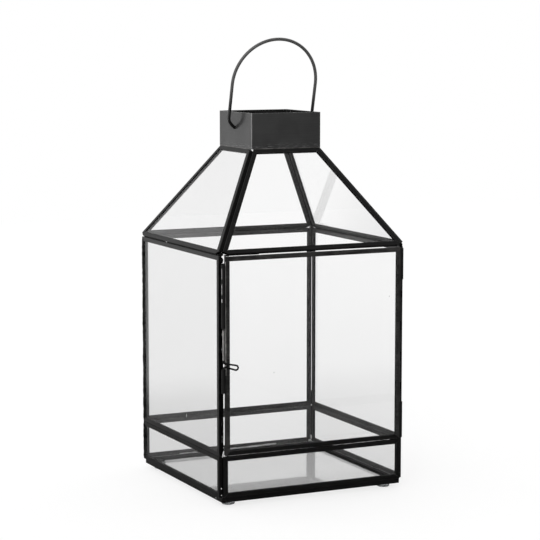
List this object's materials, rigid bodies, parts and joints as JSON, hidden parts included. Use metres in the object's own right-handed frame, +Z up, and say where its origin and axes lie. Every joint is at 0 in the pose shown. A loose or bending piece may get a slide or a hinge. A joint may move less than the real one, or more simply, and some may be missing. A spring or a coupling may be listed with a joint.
{
  "type": "glass candle lantern",
  "caption": "House-shaped candle lantern of glass panes edged in black metal channel, with a hinged side door, wire latch, open chimney collar and wire bail handle.",
  "frame": {"origin": "centre of the plan, on the surface that the feet stand on", "axes": "+Z up, -Y towards the door, +X towards the door's hinge"},
  "size_m": [0.2022, 0.2056, 0.4476],
  "materials": {
    "came": "satin black paint over soldered channel, rubbed lighter along the folds",
    "collar": "satin black folded sheet",
    "wire": "satin black round wire",
    "solder": "painted solder, bright where the paint has chipped",
    "glass": "clear flat glass",
    "bumper": "clear soft bumper"
  },
  "bodies": {
    "body": {"back_frame": "came", "back_pane": "glass", "base_back_frame": "came", "base_back_pane": "glass", "base_front_frame": "came", "base_front_pane": "glass", "base_left_frame": "came", "base_left_pane": "glass", "base_right_frame": "came", "base_right_pane": "glass", "bottom_frame": "came", "bottom_pane": "glass", "collar": "collar", "collar_solder": "solder", "corner_solder": "solder", "eave_solder": "solder", "foot_back_left": "bumper", "foot_back_right": "bumper", "foot_front_left": "bumper", "foot_front_right": "bumper", "hinge_barrel_solder": "solder", "hinge_lower_barrel": "came", "hinge_upper_barrel": "came", "hip_solder": "solder", "latch_lower_barrel": "came", "latch_solder": "solder", "latch_upper_barrel": "came", "left_frame": "came", "left_pane": "glass", "right_frame": "came", "right_pane": "glass", "roof_back_frame": "came", "roof_back_pane": "glass", "roof_front_frame": "came", "roof_front_pane": "glass", "roof_left_frame": "came", "roof_left_pane": "glass", "roof_right_frame": "came", "roof_right_pane": "glass"},
    "door": {"door_bottom_rail": "came", "door_hinge_stile": "came", "door_latch_stile": "came", "door_pane": "glass", "door_top_rail": "came", "hinge_rod": "wire", "hinge_rod_solder": "solder"},
    "latch": {"latch_wire": "wire"},
    "handle": {"bail_handle": "wire"}
  },
  "joints": [
    {"name": "door_hinge", "type": "hinge", "parent": "body", "child": "door", "pos_m": [0.0979, -0.0984, 0.14645], "axis": [0, 0, 1], "range_deg": [0, 175]},
    {"name": "latch_swing", "type": "hinge", "parent": "body", "child": "latch", "pos_m": [-0.0969, -0.10072, 0.1406], "axis": [0, 0, -1], "range_deg": [0, 205]},
    {"name": "handle_swing", "type": "hinge", "parent": "body", "child": "handle", "pos_m": [0, 0, 0.35882], "axis": [1, 0, 0], "range_deg": [-130, 100]}
  ]
}
